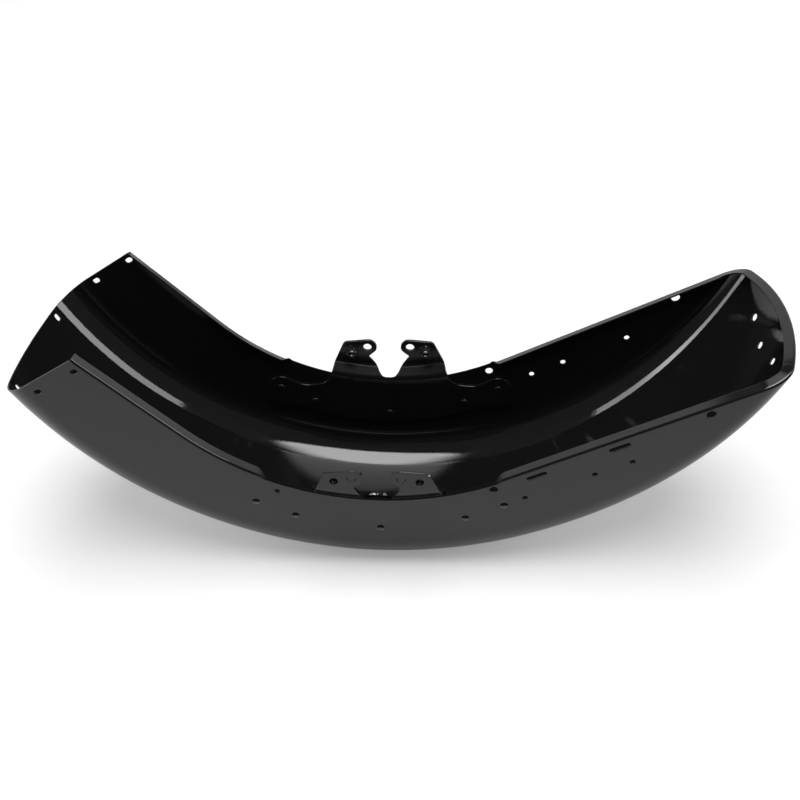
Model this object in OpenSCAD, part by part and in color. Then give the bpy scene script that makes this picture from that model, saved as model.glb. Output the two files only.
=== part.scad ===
// Front fender of a touring motorcycle, lying on its crown with the open side up.
// X runs from tail (minus) to nose (plus), Y is the wheel axis and Z is up, in millimetres.
// Everything is laid out round the wheel centre, in the side view (x, z). The whole is then
// pitched to its balance, lifted until the crown touches Z = 0 and centred on X = 0.

/* [Shell] */
// Outside radius of the crown on its centreline, from the wheel centre
crown_r = 362; // [345:1:390]
// Radius of the gentle arch of the crown across its width
arch_r = 265; // [200:5:400]
// Outside radius of the shoulder between crown and side wall
shoulder_r = 37; // [26:1:44]
// Half of the outside width, at the distance wall_ref_r from the wheel centre
half_width = 83; // [76:0.5:86]
// Distance from the wheel centre at which half_width is measured
wall_ref_r = 300; // [290:1:310]
// Lean of each side wall, outward towards the rim, in degrees
wall_flare = 2.4; // [0.5:0.1:4]
// Thickness of the sheet steel
sheet = 1.5; // [1:0.1:2.5]

/* [Rim and tail] */
// Slope of the straight front part of the rim, in degrees
front_slope = 27.6; // [25:0.1:30]
// Distance of the front rim line from the wheel centre
front_rim_d = 257.7; // [252:0.1:262]
// Slope of the straight rear part of the rim, in degrees
rear_slope = 47.1; // [44:0.1:50]
// Distance of the rear rim line from the wheel centre
rear_rim_d = 251.3; // [246:0.1:256]
// Radius of the hollow curve that joins the two straight parts
rim_curve_r = 232; // [215:1:240]
// Slope of the square cut across the tail, in degrees
tail_slope = 31.8; // [29:0.1:35]
// Distance of the tail cut from the wheel centre
tail_d = 38.3; // [34:0.1:48]
// Pitch of the whole, nose down, that brings its balance point under the wheel centre
rest_pitch = 0.64; // [-2:0.01:2]

/* [Rim flange] */
// Width of the flange turned in along the rim, sheet included
flange_w = 8.5; // [6:0.5:12]
// Start of the front flange, ahead of the wheel centre
flange_front_x = 100; // [94:1:112]
// End of the rear flange, behind the wheel centre
flange_rear_x = 103; // [96:1:120]

/* [Mounting brackets] */
// Thickness of the bracket plate
plate = 3; // [2:0.25:4]
// Shift of the brackets to the rear
bracket_back = 3.3; // [0:0.1:6]
// Distance between the outside faces of the two pairs of ears
ear_span = 190; // [186:1:198]
// Angle of the step that carries the ears out over the rim, from the wall
step_angle = 62; // [52:1:70]
// Gap between the rim and the start of that step
step_gap = 2; // [1.5:0.25:3]
// Radius of the two bends of the step, at the middle of the plate
bend_r = 4; // [3:0.5:5]
// Depth of the top edge of an ear below the wheel centre, over its plain hole
ear_top = 215.8; // [213:0.1:217]
// Depth of the bottom of the opening between the two ears
gap_bottom = 256.5; // [255:0.5:262]
// Distance between the plain bolt holes of a bracket
bolt_pitch = 43.4; // [42:0.1:45]
// Depth of the plain bolt holes below the wheel centre
bolt_drop = 225.4; // [224.5:0.1:226.5]
// Diameter of the plain bolt holes
bolt_hole_d = 8.5; // [6:0.5:9.5]
// Distance between the captive nuts of a bracket
nut_pitch = 75; // [73:0.5:77]
// Depth of the captive nuts below the wheel centre
nut_drop = 229.2; // [228:0.1:231]
// Depth of the top edge of the plate in the dip beside an ear
dip_drop = 266; // [262:0.5:269]
// Height of the plate above the middle of its outermost rivet
lobe_h = 13; // [11:0.5:14]

/* [Rivets] */
// Diameter of a rivet shank
rivet_d = 5; // [4:0.5:6]
// Diameter of the flush head of a rivet
rivet_head_d = 9; // [8:0.5:11]
// Part of the sheet that the flush head is sunk into
rivet_sink = 1.2; // [0.8:0.1:1.4]
// Diameter of the formed tail of a rivet, inside
rivet_tail_d = 7.5; // [7:0.5:9]
// Height of the formed tail
rivet_tail_h = 1.2; // [0.8:0.1:2]
// Radius of the curve that the rivets lie on
rivet_row_r = 208; // [204:1:212]
// Depth of the centre of that curve below the wheel centre
rivet_row_drop = 93.4; // [91:0.2:95]
// Angle along the row from the middle rivet to the next
rivet_inner_a = 22; // [20:0.5:24]
// Angle along the row from the middle rivet to the outermost
rivet_outer_a = 32.7; // [31.5:0.1:33.5]
// Plate left below the row of rivets
row_margin = 13; // [11:0.5:15]

/* [Captive nuts] */
// Thread core diameter of a captive nut
nut_core_d = 6.6; // [5:0.1:7]
// Diameter of the round body of a nut
nut_body_d = 10.5; // [9:0.5:12]
// Height of a nut above the ear, base included
nut_h = 6; // [4:0.5:8]
// Diameter of the base of a nut
nut_base_d = 14; // [13:0.5:16]
// Thickness of the base of a nut
nut_base_t = 1.2; // [1:0.1:2]
// Width of the four clinched corners on the base
nut_claw_w = 2.6; // [1.5:0.1:3]
// Height of the clinched corners above the base
nut_claw_h = 1.6; // [0.8:0.1:2.5]
// Clearance of the hole in the ear over the thread core
nut_hole_clear = 0.8; // [0.4:0.1:1.5]

/* [Holes near the rim] */
// Diameter of the lamp hole near the nose, in each wall
side_hole_d = 8; // [5:0.5:9]
// Depth of its middle below the rim
side_hole_depth = 7; // [6.5:0.5:12]
// Its place along the front rim, from the foot of the wheel centre
side_hole_s = 168; // [150:1:180]
// Diameter of the hole behind the front flange, in each wall
edge_hole_d = 7.5; // [5:0.5:8]
// Depth of its middle below the rim
edge_hole_depth = 7.5; // [6:0.5:12]
// Its place along the front rim
edge_hole_s = -27; // [-32:1:-20]

/* [Trim holes] */
// Diameter of the trim holes
trim_hole_d = 5; // [3:0.5:6]
// Depth of the row of trim holes below the rim
trim_hole_depth = 30; // [26:0.5:34]
// Places of the trim holes in the near wall, along the front rim
near_trim_s = [-7, 59, 93];
// Places of the trim holes in the far wall, along the front rim
far_trim_s = [10, 44, 111];
// Turn of the lone trim hole near the end of the rear flange, in the near wall
rear_trim_a = 22.9; // [22:0.1:26]
// Depth of that hole below the rim
rear_trim_depth = 12.3; // [9:0.1:15]
// Width of the two trim slots in the near wall
trim_slot_w = 5; // [4:0.5:7]
// Length of the two trim slots
trim_slot_l = 19; // [14:1:24]
// Depth of their middle below the rim
trim_slot_depth = 9; // [8:0.5:14]
// Places of the trim slots, along the front rim
trim_slot_s = [13.5, 89.5];

/* [Nose and tail holes] */
// Diameter of the three holes across the crown at the nose
nose_hole_d = 6.5; // [4:0.5:8]
// Half of the distance between the outer two nose holes
nose_hole_half = 30.5; // [24:0.5:36]
// Distance of the middle nose hole from the nose edge, along the crown
nose_inset = 42; // [30:1:50]
// How much closer to the nose edge the outer two lie
nose_stagger = 7; // [0:0.5:10]
// Width of the slots along the tail
tail_slot_w = 5.5; // [4:0.5:7]
// Length of the slots along the tail
tail_slot_l = 8.5; // [8:0.5:11]
// Distance of the tail slots from the tail edge
tail_inset = 8.5; // [7.5:0.5:12]
// Places of the two tail slots in each wall, along the tail from the rim
tail_slot_s = [7.6, 50.5];
// Half of the distance between the two tail slots in the crown
tail_crown_half = 51; // [40:0.5:54]

/* [Hidden] */
$fn = 96;
PAINT = [0.09, 0.09, 0.1];
BARE = [0.62, 0.62, 0.63];
// Overrun of a cutting shape past what it cuts
over = 5;
// Distance from the wheel centre at which the revolved blanks begin
blank_r = 150;
// Half size of the side view in which the blanks are trimmed
reach = crown_r + 60;

// Straight edges of the side view: the points p with normal * p = distance.
front_n = [-sin(front_slope), cos(front_slope)];
rear_n = [sin(rear_slope), cos(rear_slope)];
tail_n = [-sin(tail_slope), cos(tail_slope)];
function along(n) = [n[1], -n[0]];
function meet(n1, d1, n2, d2) =
  [d1 * n2[1] - d2 * n1[1], n1[0] * d2 - n2[0] * d1] / (n1[0] * n2[1] - n1[1] * n2[0]);
function at_radius(n, d, r) = n * d + along(n) * sqrt(r * r - d * d);
function arc(c, r, a0, a1, steps) =
  [for (k = [0:steps]) let (a = a0 + (a1 - a0) * k / steps) c + r * [cos(a), sin(a)]];
rim_centre = meet(front_n, rim_curve_r - front_rim_d, rear_n, rim_curve_r - rear_rim_d);
rim_low_r = rim_curve_r + norm(rim_centre);
nose_point = at_radius(front_n, -front_rim_d, crown_r);
tail_point = -at_radius(tail_n, -tail_d, crown_r);
nose_a = atan2(nose_point[1], nose_point[0]);
tail_a = atan2(tail_point[1], tail_point[0]);
mid_x = (turned(nose_point, -rest_pitch)[0] + turned(tail_point, -rest_pitch)[0]) / 2;

// The rim from nose to tail, moved by drop towards the crown.
function rim_path(drop, past_tail) = concat(
  [at_radius(front_n, -front_rim_d - drop, reach)],
  arc(rim_centre, rim_curve_r + drop, front_slope - 90, -90 - rear_slope, 24),
  [meet(rear_n, -rear_rim_d - drop, tail_n, tail_d + past_tail)]);
tail_corner = meet(rear_n, -rear_rim_d, tail_n, tail_d);

// Places in a wall: by the front rim, and by the tail.
function front_place(s, depth) = along(front_n) * s - front_n * (front_rim_d + depth);
function tail_place(s) = tail_corner - along(tail_n) * s - tail_n * tail_inset;
rear_trim_place = rim_centre
  - (rim_curve_r + rear_trim_depth) * [sin(rear_trim_a), cos(rear_trim_a)];

// Cross section, as points (distance from the wheel centre, distance from the middle).
wall_n = [sin(wall_flare), cos(wall_flare)];
arch_c = [crown_r - arch_r, 0];
shoulder_a = asin((wall_n * [wall_ref_r - arch_c[0], half_width] - shoulder_r)
  / (arch_r - shoulder_r)) - wall_flare;
shoulder_c = arch_c + (arch_r - shoulder_r) * [cos(shoulder_a), sin(shoulder_a)];
function wall_y(r, inset) =
  half_width + (wall_ref_r - r) * tan(wall_flare) - inset / cos(wall_flare);
function half_section(inset) = concat(
  [[blank_r, wall_y(blank_r, inset)]],
  arc(shoulder_c, shoulder_r - inset, 90 - wall_flare, shoulder_a, 12),
  arc(arch_c, arch_r - inset, shoulder_a * 7 / 8, 0, 7));
function other_half(points) = [for (k = [len(points) - 2:-1:0]) [points[k][0], -points[k][1]]];

// Places on a bracket are measured from the bracket's own middle.
function on_bracket(p) = [p[0] - bracket_back, p[1]];
rivet_row_c = [0, -rivet_row_drop];
RIVET_A = [-rivet_outer_a, -rivet_inner_a, 0, rivet_inner_a, rivet_outer_a];
function row_point(a, r) = rivet_row_c + r * [sin(a), -cos(a)];
rivet_places = [for (a = RIVET_A) row_point(a, rivet_row_r)];
bolt_places = [for (s = [-1, 1]) [s * bolt_pitch / 2, -bolt_drop]];
nut_places = [for (s = [-1, 1]) [s * nut_pitch / 2, -nut_drop]];
nut_hole_d = nut_core_d + nut_hole_clear;
ear_inner_y = ear_span / 2 - plate;

// Corners (x, z, radius) joined into a smooth outline.
function unit(v) = v / norm(v);
function rounded(corners) = [
  for (i = [0:len(corners) - 1])
    let (
      n = len(corners),
      p = [corners[i][0], corners[i][1]],
      before = corners[(i + n - 1) % n],
      after = corners[(i + 1) % n],
      a = unit([before[0], before[1]] - p),
      b = unit([after[0], after[1]] - p),
      half = acos(a * b) / 2,
      c = p + unit(a + b) * corners[i][2] / sin(half),
      start = p + a * corners[i][2] / tan(half) - c,
      end = p + b * corners[i][2] / tan(half) - c,
      a0 = atan2(start[1], start[0]),
      sweep = (atan2(end[1], end[0]) - a0 + 540) % 360 - 180
    )
    each arc(c, corners[i][2], a0, a0 + sweep, max(1, ceil(abs(sweep) / 15)))
];

// A bent strip of plate of even thickness, along a path with rounded bends.
function turned(v, a) = [v[0] * cos(a) - v[1] * sin(a), v[0] * sin(a) + v[1] * cos(a)];
function strip_side(path, radius, e) = concat(
  [path[0] + e * turned(unit(path[1] - path[0]), 90)],
  [for (i = [1:len(path) - 2])
    let (
      d0 = unit(path[i] - path[i - 1]),
      d1 = unit(path[i + 1] - path[i]),
      bend = atan2(cross(d0, d1), d0 * d1),
      s = sign(bend),
      n0 = turned(d0, 90),
      c = path[i] - d0 * radius * tan(abs(bend) / 2) + n0 * s * radius
    )
    each [for (k = [0:5]) c - s * (radius - s * e) * turned(n0, bend * k / 5)]],
  [path[len(path) - 1] + e * turned(unit(path[len(path) - 1] - path[len(path) - 2]), 90)]);
function reversed(points) = [for (k = [len(points) - 1:-1:0]) points[k]];
function strip(path, radius, t) =
  concat(strip_side(path, radius, t / 2), reversed(strip_side(path, radius, -t / 2)));

// The bracket's section: up along the wall, out over the rim, and up again to the ear.
plate_mid = sheet + plate / 2;
step_low_r = rim_low_r - step_gap - bend_r * tan(step_angle / 2);
step_rise = (ear_span / 2 - plate / 2 - wall_y(step_low_r, plate_mid)) / tan(step_angle);
step_top_r = step_low_r - step_rise;
bracket_path = [
  [shoulder_c[0], wall_y(shoulder_c[0], plate_mid)],
  [step_low_r, wall_y(step_low_r, plate_mid)],
  [step_top_r, ear_span / 2 - plate / 2],
  [blank_r, ear_span / 2 - plate / 2]];

// Half of the bracket's outline, from the opening between the ears round to the row of rivets.
bolt_x = bolt_pitch / 2;
nut_x = nut_pitch / 2;
lobe = row_point(rivet_outer_a, rivet_row_r);
half_bracket = [
  [bolt_x - 13.7, -gap_bottom, 11],
  [bolt_x - 0.9, -bolt_drop - 11.6, 1],
  [bolt_x - 9.6, -bolt_drop - 3.6, 7],
  [bolt_x - 9.3, -ear_top, 8.5],
  [nut_x + 8, -ear_top - 3.4, 6],
  [nut_x + 18.5, -nut_drop - 14, 25],
  [nut_x + 28, -dip_drop + 2.5, 14],
  [lobe[0] - 24, -dip_drop, 20],
  [lobe[0] + 3, lobe[1] + lobe_h + 4.5, 14],
  [lobe[0] + 19, lobe[1] - 2, 11],
  [lobe[0] + 12, lobe[1] - 21, 10]];
low_edge = [for (k = [2:-1:-2]) row_point(k * 13, rivet_row_r + row_margin)];
bracket_outline = rounded(concat(
  half_bracket,
  [for (p = low_edge) [p[0], p[1], 40]],
  [for (k = [len(half_bracket) - 1:-1:0]) [-half_bracket[k][0], half_bracket[k][1], half_bracket[k][2]]]));

module revolved(profile) {
  rotate([-90, 0, 0]) rotate_extrude() polygon(profile);
}
module section_blank(inset) {
  half = half_section(inset);
  revolved(concat(half, other_half(half)));
}
module side_view(y0, y1) {
  translate([0, y1, 0]) rotate([90, 0, 0]) linear_extrude(y1 - y0) children();
}
module on_side(side) {
  if (side == "near") mirror([0, 1, 0]) children();
  else children();
}
module placed() {
  translate([-mid_x, 0, crown_r]) rotate([0, rest_pitch, 0]) children();
}
// Local Z points out of the far wall and Z = 0 is its outside; local X points along turn.
module at_wall(p, turn = 0) {
  r = norm(p);
  rotate([0, -atan2(p[1], p[0]), 0]) translate([r, wall_y(r, 0), 0])
    rotate([0, 0, -wall_flare]) rotate([-90, 0, 0]) rotate([0, 0, turn]) children();
}
module at_crown(a, y) {
  lean = asin(y / arch_r);
  rotate([0, -a, 0]) translate([arch_c[0] + arch_r * cos(lean), y, 0])
    rotate([0, 0, lean]) rotate([0, 90, 0]) children();
}
module punch(d) {
  cylinder(h = 4 * over, d = d, center = true);
}
module slot_punch(l, w) {
  end = (l - w) / 2;
  translate([0, 0, -2 * over]) linear_extrude(4 * over)
    polygon(concat(arc([end, 0], w / 2, -90, 90, 10), arc([-end, 0], w / 2, 90, 270, 10)));
}
// A slot in the wall whose length lies at a given slope in the side view.
module wall_slot(p, l, w, slope) {
  at_wall(p, atan2(p[1], p[0]) - slope) slot_punch(l, w);
}

// One pressing: crown, shoulders, walls and the flange along the rim.
module shell_pressing() {
  difference() {
    intersection() {
      section_blank(0);
      side_view(-reach, reach) side_outline(0, 0);
    }
    intersection() {
      section_blank(sheet);
      union() {
        side_view(-reach, reach) side_outline(sheet, over);
        flange_gap();
      }
    }
    section_blank(flange_w);
  }
}
module side_outline(drop, past_tail) {
  path = rim_path(drop, past_tail);
  tail_end = path[len(path) - 1] - along(tail_n) * reach;
  polygon(concat(path, [tail_end, [tail_end[0], -reach], [path[0][0], -reach]]));
}
// Plan of the stretch without a flange, with both ends of the flange cut off at 45 degrees.
module flange_gap() {
  edge = half_width + 2 * over;
  front = flange_front_x + wall_y(rim_low_r, 0);
  rear = -flange_rear_x - wall_y(rim_low_r, 0);
  translate([0, 0, -reach]) linear_extrude(reach)
    polygon([[front, 0], [front - edge, edge], [rear + edge, edge],
             [rear, 0], [rear + edge, -edge], [front - edge, -edge]]);
}
module wall_holes(side) {
  at_wall(front_place(side_hole_s, side_hole_depth)) punch(side_hole_d);
  at_wall(front_place(edge_hole_s, edge_hole_depth)) punch(edge_hole_d);
  for (s = tail_slot_s) wall_slot(tail_place(s), tail_slot_l, tail_slot_w, tail_slope);
  for (s = side == "near" ? near_trim_s : far_trim_s)
    at_wall(front_place(s, trim_hole_depth)) punch(trim_hole_d);
  if (side == "near") {
    at_wall(rear_trim_place) punch(trim_hole_d);
    for (s = trim_slot_s)
      wall_slot(front_place(s, trim_slot_depth), trim_slot_l, trim_slot_w, front_slope);
  }
  for (p = rivet_places) at_wall(on_bracket(p)) rivet_hole();
}
module crown_holes() {
  step = 180 / (PI * crown_r);
  at_crown(nose_a - nose_inset * step, 0) punch(nose_hole_d);
  for (s = [-1, 1]) {
    at_crown(nose_a - (nose_inset - nose_stagger) * step, s * nose_hole_half) punch(nose_hole_d);
    at_crown(tail_a + tail_inset * step, s * tail_crown_half) slot_punch(tail_slot_l, tail_slot_w);
  }
}
module fender_shell() {
  color(PAINT) placed() difference() {
    shell_pressing();
    on_side("near") wall_holes("near");
    on_side("far") wall_holes("far");
    crown_holes();
  }
}

module bracket(side) {
  color(PAINT) placed() on_side(side) difference() {
    intersection() {
      revolved(strip(bracket_path, bend_r, plate));
      side_view(0, ear_span) translate([-bracket_back, 0]) polygon(bracket_outline);
    }
    for (p = bolt_places) at_ear(p) punch(bolt_hole_d);
    for (p = nut_places) at_ear(p) punch(nut_hole_d);
    for (p = rivet_places) at_wall(on_bracket(p)) punch(rivet_d);
  }
}
// Local Z points in from the inner face of an ear of the far bracket.
module at_ear(p) {
  q = on_bracket(p);
  translate([q[0], ear_inner_y, q[1]]) rotate([90, 0, 0]) children();
}

// A flush rivet: Z = 0 is the outside of the sheet, and the tail is formed on the plate.
module rivet_hole() {
  punch(rivet_d);
  rotate_extrude() polygon([[0, over], [rivet_head_d / 2, over], [rivet_head_d / 2, 0],
                            [rivet_d / 2, -rivet_sink], [0, -rivet_sink]]);
}
module rivet(side, k) {
  grip = sheet + plate;
  color(PAINT) placed() on_side(side) at_wall(on_bracket(rivet_places[k - 1]))
    rotate_extrude() polygon([
      [0, 0], [rivet_head_d / 2, 0], [rivet_d / 2, -rivet_sink], [rivet_d / 2, -grip],
      [rivet_tail_d / 2, -grip], [rivet_tail_d / 2, -grip - rivet_tail_h / 2],
      [rivet_d / 2, -grip - rivet_tail_h], [0, -grip - rivet_tail_h]]);
}

// A round captive nut with four clinched corners, on the inner face of an ear.
module nut(side, place) {
  color(BARE) placed() on_side(side) at_ear(place == "rear" ? nut_places[0] : nut_places[1])
    difference() {
      union() {
        cylinder(h = nut_base_t, d = nut_base_d);
        cylinder(h = nut_h, d = nut_body_d);
        for (a = [45:90:315]) rotate(a)
          translate([nut_body_d / 2 - 0.5, -nut_claw_w / 2, 0])
            cube([(nut_base_d - nut_body_d) / 2 + 0.5, nut_claw_w, nut_base_t + nut_claw_h]);
      }
      translate([0, 0, -over]) cylinder(h = nut_h + 2 * over, d = nut_core_d);
    }
}

fender_shell();
bracket("near");  // bracket_near
bracket("far");  // bracket_far
rivet("near", 1);  // rivet_near_1
rivet("near", 2);  // rivet_near_2
rivet("near", 3);  // rivet_near_3
rivet("near", 4);  // rivet_near_4
rivet("near", 5);  // rivet_near_5
rivet("far", 1);  // rivet_far_1
rivet("far", 2);  // rivet_far_2
rivet("far", 3);  // rivet_far_3
rivet("far", 4);  // rivet_far_4
rivet("far", 5);  // rivet_far_5
nut("near", "rear");  // nut_near_rear
nut("near", "front");  // nut_near_front
nut("far", "rear");  // nut_far_rear
nut("far", "front");  // nut_far_front
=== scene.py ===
import math

import bmesh
import bpy
import numpy as np
from mathutils import Matrix, Vector
from mathutils.geometry import delaunay_2d_cdt


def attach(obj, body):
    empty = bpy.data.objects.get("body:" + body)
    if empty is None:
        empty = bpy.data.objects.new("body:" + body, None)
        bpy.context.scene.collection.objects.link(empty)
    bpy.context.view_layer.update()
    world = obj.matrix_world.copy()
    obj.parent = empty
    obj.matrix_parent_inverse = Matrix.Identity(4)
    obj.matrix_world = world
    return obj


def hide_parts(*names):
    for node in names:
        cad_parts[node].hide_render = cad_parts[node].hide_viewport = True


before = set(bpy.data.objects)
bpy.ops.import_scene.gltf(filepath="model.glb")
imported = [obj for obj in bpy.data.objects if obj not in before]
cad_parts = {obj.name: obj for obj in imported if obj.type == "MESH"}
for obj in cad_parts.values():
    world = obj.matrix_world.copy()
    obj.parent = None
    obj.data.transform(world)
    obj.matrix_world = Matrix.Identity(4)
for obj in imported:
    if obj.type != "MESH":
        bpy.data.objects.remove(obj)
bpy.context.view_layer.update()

sin, cos, tan, pi = math.sin, math.cos, math.tan, math.pi
rad = math.radians

# Sizes in mm, as in the CAD part
CROWN_R, ARCH_R, SHOULDER_R = 362.0, 265.0, 37.0
HALF_W, REF_R, FLARE = 83.0, 300.0, rad(2.4)
WAIST_GROWTH, WAIST_FROM, WAIST_SPAN = 0.0434, 130.0, 200.0
SHEET, PLATE = 1.5, 3.0
FRONT_SLOPE, FRONT_D = rad(27.6), 257.7
REAR_SLOPE, REAR_D = rad(47.1), 251.3
RIM_R = 232.0
TAIL_SLOPE, TAIL_D, TAIL_SKEW = rad(31.8), 38.3, 0.023
FLANGE_W, FLANGE_FRONT, FLANGE_REAR = 8.5, 100.0, -103.0
FLANGE_TILT_FRONT, FLANGE_TILT_REAR = rad(10), rad(14)
BACK, EAR_Y, STEP_A, STEP_GAP, BEND_R = 3.3, 93.5, rad(62), 2.0, 4.0
PITCH = rad(0.64)

# Sizes that only the scene has
K = 320.0                       # mm per radian, for the angle axis of the flat domains
NOSE_SHOULDER_R = 19.0          # the shoulder tightens to this at the nose,
TIGHTEN_FROM = -1.13            # starting at this angle in radians
TIGHTEN_SPAN = 0.82             # and done after this much more
PLATE_GAP = 0.03                # keeps the plate off the sheet
HOLE_BEVEL, TAIL_BEVEL, RIM_BEVEL, PLATE_BEVEL = 0.2, 0.35, 0.45, 0.6
BEND_STEPS = 7                  # rows of faces round the flange's bend


def unit(v):
    v = np.asarray(v, float)
    return v / np.linalg.norm(v, axis=-1, keepdims=True)


FRONT_N = np.array([-sin(FRONT_SLOPE), cos(FRONT_SLOPE)])
REAR_N = np.array([sin(REAR_SLOPE), cos(REAR_SLOPE)])
TAIL_N = np.array([-sin(TAIL_SLOPE), cos(TAIL_SLOPE)])


def along(n):
    return np.array([n[1], -n[0]])


def meet(n1, d1, n2, d2):
    return (np.array([d1 * n2[1] - d2 * n1[1], n1[0] * d2 - n2[0] * d1])
            / (n1[0] * n2[1] - n1[1] * n2[0]))


def at_radius(n, d, r):
    return n * d + along(n) * math.sqrt(r * r - d * d)


RIM_C = meet(FRONT_N, RIM_R - FRONT_D, REAR_N, RIM_R - REAR_D)
NOSE = at_radius(FRONT_N, -FRONT_D, CROWN_R)
TAIL = -at_radius(TAIL_N, -TAIL_D, CROWN_R)
NOSE_A = math.atan2(NOSE[1], NOSE[0])
TAIL_A = math.atan2(TAIL[1], TAIL[0])
MID_X = sum(p[0] * cos(PITCH) + p[1] * sin(PITCH) for p in (NOSE, TAIL)) / 2
TAIL_CORNER = meet(REAR_N, -REAR_D, TAIL_N, TAIL_D)
TAIL_CUT = np.array([TAIL_N[0], TAIL_SKEW, TAIL_N[1]])

ARCH_C = CROWN_R - ARCH_R
WALL_N = np.array([sin(FLARE), cos(FLARE)])
BETA = math.asin((WALL_N @ [REF_R - ARCH_C, HALF_W] - SHOULDER_R) / (ARCH_R - SHOULDER_R)) - FLARE
SH_C = np.array([ARCH_C + (ARCH_R - SHOULDER_R) * cos(BETA), (ARCH_R - SHOULDER_R) * sin(BETA)])
S1 = ARCH_R * BETA
S2 = S1 + SHOULDER_R * (pi / 2 - FLARE - BETA)


def smooth(x):
    x = np.clip(x, 0, 1)
    return x * x * (3 - 2 * x)


def shoulder(phi):
    """Radius, start angle, arc starts and centre of the shoulder, and the wall's start."""
    share = smooth((np.asarray(phi, float) - TIGHTEN_FROM) / TIGHTEN_SPAN)
    rs = SHOULDER_R + (NOSE_SHOULDER_R - SHOULDER_R) * share
    beta = np.arcsin((WALL_N @ [REF_R - ARCH_C, HALF_W] - rs) / (ARCH_R - rs)) - FLARE
    cx, cy = ARCH_C + (ARCH_R - rs) * np.cos(beta), (ARCH_R - rs) * np.sin(beta)
    s1 = ARCH_R * beta
    s2 = s1 + rs * (pi / 2 - FLARE - beta)
    return rs, beta, s1, s2, cx, cy, cx + rs * sin(FLARE), cy + rs * cos(FLARE)


def placed(p):
    """Wheel centred mm to the row frame in metres."""
    p = np.asarray(p, float)
    x = p[..., 0] * cos(PITCH) + p[..., 2] * sin(PITCH) - MID_X
    z = -p[..., 0] * sin(PITCH) + p[..., 2] * cos(PITCH) + CROWN_R
    return np.stack([x, p[..., 1], z], -1) / 1000


def turned(n):
    """A direction of the wheel centred frame in the row frame."""
    n = np.asarray(n, float)
    x = n[..., 0] * cos(PITCH) + n[..., 2] * sin(PITCH)
    z = -n[..., 0] * sin(PITCH) + n[..., 2] * cos(PITCH)
    return np.stack([x, n[..., 1], z], -1)


# Surfaces
def skin_point(d):
    """Outside of the shell at the domain points d = (angle * K, distance along the section)."""
    d = np.asarray(d, float)
    phi, s = d[..., 0] / K, d[..., 1]
    a = np.abs(s)
    rs, beta, s1, s2, cx, cy, r2, y2 = shoulder(phi)
    t1 = a / ARCH_R
    t2 = beta + (a - s1) / rs
    r = np.where(a <= s1, ARCH_C + ARCH_R * np.cos(t1),
                 np.where(a <= s2, cx + rs * np.cos(t2), r2 - (a - s2) * cos(FLARE)))
    y = np.where(a <= s1, ARCH_R * np.sin(t1),
                 np.where(a <= s2, cy + rs * np.sin(t2), y2 + (a - s2) * sin(FLARE)))
    x = r * np.cos(phi)
    waist = 1 + WAIST_GROWTH * (np.maximum(0, np.abs(x) - WAIST_FROM) / WAIST_SPAN) ** 2
    return np.stack([x, np.sign(s) * y * waist, r * np.sin(phi)], -1)


def normals_of(point, d, h=0.02):
    """Unit normals of a surface, from steps of h in its domain."""
    d = np.asarray(d, float)
    du = point(d + [h, 0]) - point(d - [h, 0])
    dv = point(d + [0, h]) - point(d - [0, h])
    return unit(np.cross(dv, du))


def rim_r(phi):
    """Distance of the rim from the wheel centre: front line, hollow curve and rear line."""
    phi = np.asarray(phi, float)
    u = np.stack([np.cos(phi), np.sin(phi)], -1)
    uc = u @ RIM_C
    arc = uc + np.sqrt(RIM_R ** 2 - RIM_C @ RIM_C + uc ** 2)
    front = -FRONT_D / (u @ FRONT_N)
    rear = -REAR_D / (u @ REAR_N)
    pf = RIM_C + RIM_R * np.array([sin(FRONT_SLOPE), -cos(FRONT_SLOPE)])
    pr = RIM_C + RIM_R * np.array([-sin(REAR_SLOPE), -cos(REAR_SLOPE)])
    return np.where(phi > math.atan2(pf[1], pf[0]), front,
                    np.where(phi < math.atan2(pr[1], pr[0]), rear, arc))


def wall_s(r, phi):
    """Distance along the section at which the wall has the radius r."""
    _, _, _, s2, _, _, r2, _ = shoulder(phi)
    return s2 + (r2 - r) / cos(FLARE)


def wall_domain(p, side):
    """A side view point (x, z) on a wall, as a domain point. side is -1 near, 1 far."""
    p = np.asarray(p, float)
    r = np.hypot(p[..., 0], p[..., 1])
    phi = np.arctan2(p[..., 1], p[..., 0])
    phi = np.where(phi > pi / 2, phi - 2 * pi, phi)
    return np.stack([phi * K, side * wall_s(r, phi)], -1)


def wall_y(r, inset):
    """Half width of the wall at the radius r, inset below its outside."""
    return HALF_W + (REF_R - r) * tan(FLARE) - inset / cos(FLARE)


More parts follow.
